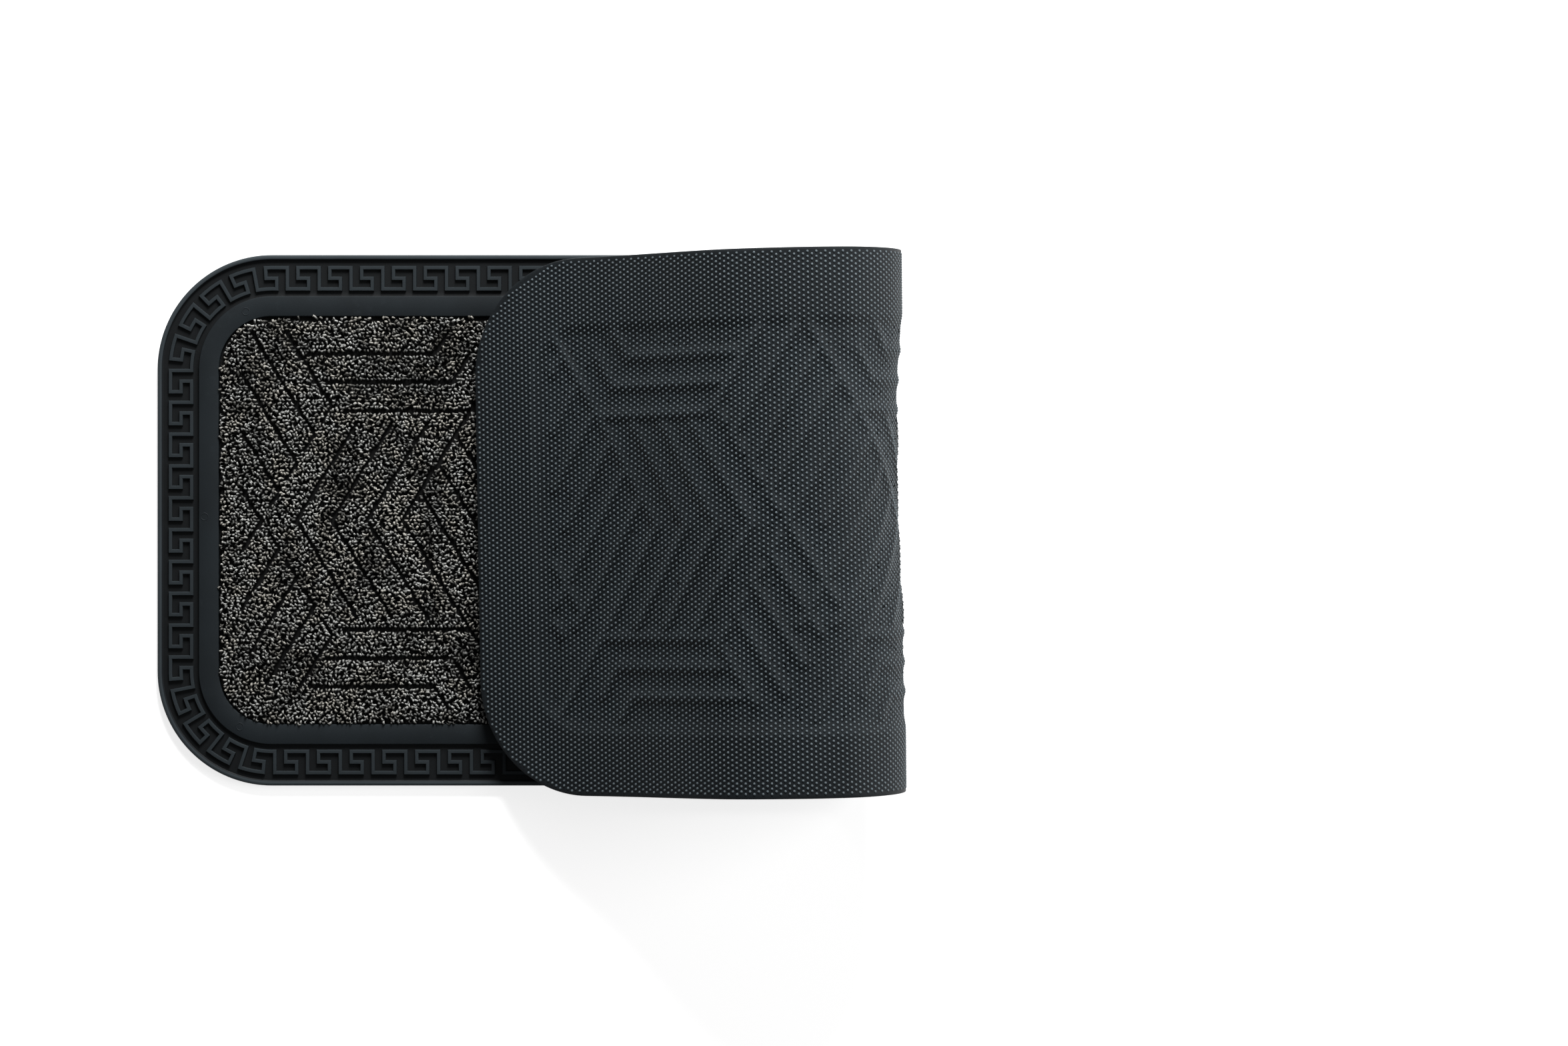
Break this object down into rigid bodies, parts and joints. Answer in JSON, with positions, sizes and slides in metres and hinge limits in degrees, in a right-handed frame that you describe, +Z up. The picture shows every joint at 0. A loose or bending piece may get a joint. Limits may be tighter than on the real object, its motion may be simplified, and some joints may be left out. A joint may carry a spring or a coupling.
{
  "type": "door mat",
  "caption": "Folded indoor-outdoor door mat: moulded rubber tray with a key-pattern border, grooved loop-pile carpet insert and a dotted non-slip underside.",
  "frame": {"origin": "on the floor, under the centre of the folded mat's bounding box", "axes": "+X along the mat from its free end on the floor towards the fold, +Y across the mat, +Z up"},
  "size_m": [0.6338, 0.4556, 0.1384],
  "materials": {
    "rubber": "moulded matt rubber, dark blue-grey, small raised dots on the underside",
    "carpet_backing": "black woven backing",
    "loop_pile": "charcoal loop pile with grey and beige flecks, pressed with grooves"
  },
  "bodies": {
    "base": {"base_rubber": "rubber", "base_carpet_backing": "carpet_backing", "base_loop_pile": "loop_pile"},
    "bend_01": {"bend_01_rubber": "rubber", "bend_01_carpet_backing": "carpet_backing", "bend_01_loop_pile": "loop_pile"},
    "bend_02": {"bend_02_rubber": "rubber", "bend_02_carpet_backing": "carpet_backing", "bend_02_loop_pile": "loop_pile"},
    "bend_03": {"bend_03_rubber": "rubber", "bend_03_carpet_backing": "carpet_backing", "bend_03_loop_pile": "loop_pile"},
    "bend_04": {"bend_04_rubber": "rubber", "bend_04_carpet_backing": "carpet_backing", "bend_04_loop_pile": "loop_pile"},
    "bend_05": {"bend_05_rubber": "rubber", "bend_05_carpet_backing": "carpet_backing", "bend_05_loop_pile": "loop_pile"},
    "bend_06": {"bend_06_rubber": "rubber", "bend_06_carpet_backing": "carpet_backing", "bend_06_loop_pile": "loop_pile"},
    "bend_07": {"bend_07_rubber": "rubber", "bend_07_carpet_backing": "carpet_backing", "bend_07_loop_pile": "loop_pile"},
    "bend_08": {"bend_08_rubber": "rubber", "bend_08_carpet_backing": "carpet_backing", "bend_08_loop_pile": "loop_pile"},
    "bend_09": {"bend_09_rubber": "rubber", "bend_09_carpet_backing": "carpet_backing", "bend_09_loop_pile": "loop_pile"},
    "bend_10": {"bend_10_rubber": "rubber", "bend_10_carpet_backing": "carpet_backing", "bend_10_loop_pile": "loop_pile"},
    "bend_11": {"bend_11_rubber": "rubber", "bend_11_carpet_backing": "carpet_backing", "bend_11_loop_pile": "loop_pile"},
    "bend_12": {"bend_12_rubber": "rubber", "bend_12_carpet_backing": "carpet_backing", "bend_12_loop_pile": "loop_pile"},
    "bend_13": {"bend_13_rubber": "rubber", "bend_13_carpet_backing": "carpet_backing", "bend_13_loop_pile": "loop_pile"},
    "bend_14": {"bend_14_rubber": "rubber", "bend_14_carpet_backing": "carpet_backing", "bend_14_loop_pile": "loop_pile"},
    "bend_15": {"bend_15_rubber": "rubber", "bend_15_carpet_backing": "carpet_backing", "bend_15_loop_pile": "loop_pile"},
    "flap_slope": {"flap_slope_rubber": "rubber", "flap_slope_carpet_backing": "carpet_backing", "flap_slope_loop_pile": "loop_pile"},
    "flap_middle": {"flap_middle_rubber": "rubber", "flap_middle_carpet_backing": "carpet_backing", "flap_middle_loop_pile": "loop_pile"},
    "flap_end": {"flap_end_rubber": "rubber", "flap_end_carpet_backing": "carpet_backing", "flap_end_loop_pile": "loop_pile"}
  },
  "joints": [
    {"name": "fold_01", "type": "hinge", "parent": "base", "child": "bend_01", "pos_m": [0.25278, 0.00775, 0], "axis": [-0.0087, 1, 0], "range_deg": [0, 13.4]},
    {"name": "fold_02", "type": "hinge", "parent": "bend_01", "child": "bend_02", "pos_m": [0.26878, 0.00789, 0.00381], "axis": [-0.0087, 1, 0], "range_deg": [0, 13.4]},
    {"name": "fold_03", "type": "hinge", "parent": "bend_02", "child": "bend_03", "pos_m": [0.28346, 0.00802, 0.01122], "axis": [-0.0087, 1, 0], "range_deg": [0, 13.4]},
    {"name": "fold_04", "type": "hinge", "parent": "bend_03", "child": "bend_04", "pos_m": [0.29601, 0.00813, 0.02184], "axis": [-0.0087, 1, 0], "range_deg": [0, 13.4]},
    {"name": "fold_05", "type": "hinge", "parent": "bend_04", "child": "bend_05", "pos_m": [0.30577, 0.00822, 0.03507], "axis": [-0.0087, 1, 0], "range_deg": [0, 13.4]},
    {"name": "fold_06", "type": "hinge", "parent": "bend_05", "child": "bend_06", "pos_m": [0.31219, 0.00827, 0.05021], "axis": [-0.0087, 1, 0], "range_deg": [0, 13.4]},
    {"name": "fold_07", "type": "hinge", "parent": "bend_06", "child": "bend_07", "pos_m": [0.31494, 0.0083, 0.06642], "axis": [-0.0087, 1, 0], "range_deg": [0, 13.4]},
    {"name": "fold_08", "type": "hinge", "parent": "bend_07", "child": "bend_08", "pos_m": [0.3139, 0.00829, 0.08198], "axis": [-0.0087, 1, 0], "range_deg": [0, 13.4]},
    {"name": "fold_09", "type": "hinge", "parent": "bend_08", "child": "bend_09", "pos_m": [0.30929, 0.00825, 0.09689], "axis": [-0.0087, 1, 0], "range_deg": [0, 13.4]},
    {"name": "fold_10", "type": "hinge", "parent": "bend_09", "child": "bend_10", "pos_m": [0.30135, 0.00818, 0.11031], "axis": [-0.0087, 1, 0], "range_deg": [0, 13.4]},
    {"name": "fold_11", "type": "hinge", "parent": "bend_10", "child": "bend_11", "pos_m": [0.29051, 0.00809, 0.12154], "axis": [-0.0087, 1, 0], "range_deg": [0, 13.4]},
    {"name": "fold_12", "type": "hinge", "parent": "bend_11", "child": "bend_12", "pos_m": [0.27737, 0.00797, 0.12994], "axis": [-0.0087, 1, 0], "range_deg": [0, 13.4]},
    {"name": "fold_13", "type": "hinge", "parent": "bend_12", "child": "bend_13", "pos_m": [0.26264, 0.00784, 0.13507], "axis": [-0.0087, 1, 0], "range_deg": [0, 13.4]},
    {"name": "fold_14", "type": "hinge", "parent": "bend_13", "child": "bend_14", "pos_m": [0.22981, 0.00756, 0.13841], "axis": [-0.0087, 1, 0], "range_deg": [0, 13.4]},
    {"name": "fold_15", "type": "hinge", "parent": "bend_14", "child": "bend_15", "pos_m": [0.18124, 0.00713, 0.13192], "axis": [-0.0087, 1, 0], "range_deg": [0, 13.4]},
    {"name": "fold_16", "type": "hinge", "parent": "bend_15", "child": "flap_slope", "pos_m": [0.15137, 0.00687, 0.12046], "axis": [-0.0087, 1, 0], "range_deg": [0, 13.4]},
    {"name": "fold_17", "type": "hinge", "parent": "flap_slope", "child": "flap_middle", "pos_m": [0.07711, 0.00622, 0.06961], "axis": [-0.0087, 1, 0], "range_deg": [-6.7, 0]},
    {"name": "fold_18", "type": "hinge", "parent": "flap_middle", "child": "flap_end", "pos_m": [0.02399, 0.00576, 0.04172], "axis": [-0.0087, 1, 0], "range_deg": [-6.7, 0]}
  ],
  "couplings": [
    {"joint": "fold_02", "follows": "fold_01", "ratio": 1},
    {"joint": "fold_03", "follows": "fold_01", "ratio": 1},
    {"joint": "fold_04", "follows": "fold_01", "ratio": 1},
    {"joint": "fold_05", "follows": "fold_01", "ratio": 1},
    {"joint": "fold_06", "follows": "fold_01", "ratio": 1},
    {"joint": "fold_07", "follows": "fold_01", "ratio": 1},
    {"joint": "fold_08", "follows": "fold_01", "ratio": 1},
    {"joint": "fold_09", "follows": "fold_01", "ratio": 1},
    {"joint": "fold_10", "follows": "fold_01", "ratio": 1},
    {"joint": "fold_11", "follows": "fold_01", "ratio": 1},
    {"joint": "fold_12", "follows": "fold_01", "ratio": 1},
    {"joint": "fold_13", "follows": "fold_01", "ratio": 1},
    {"joint": "fold_14", "follows": "fold_01", "ratio": 1},
    {"joint": "fold_15", "follows": "fold_01", "ratio": 1},
    {"joint": "fold_16", "follows": "fold_01", "ratio": 1},
    {"joint": "fold_17", "follows": "fold_01", "ratio": -0.5},
    {"joint": "fold_18", "follows": "fold_01", "ratio": -0.5}
  ]
}
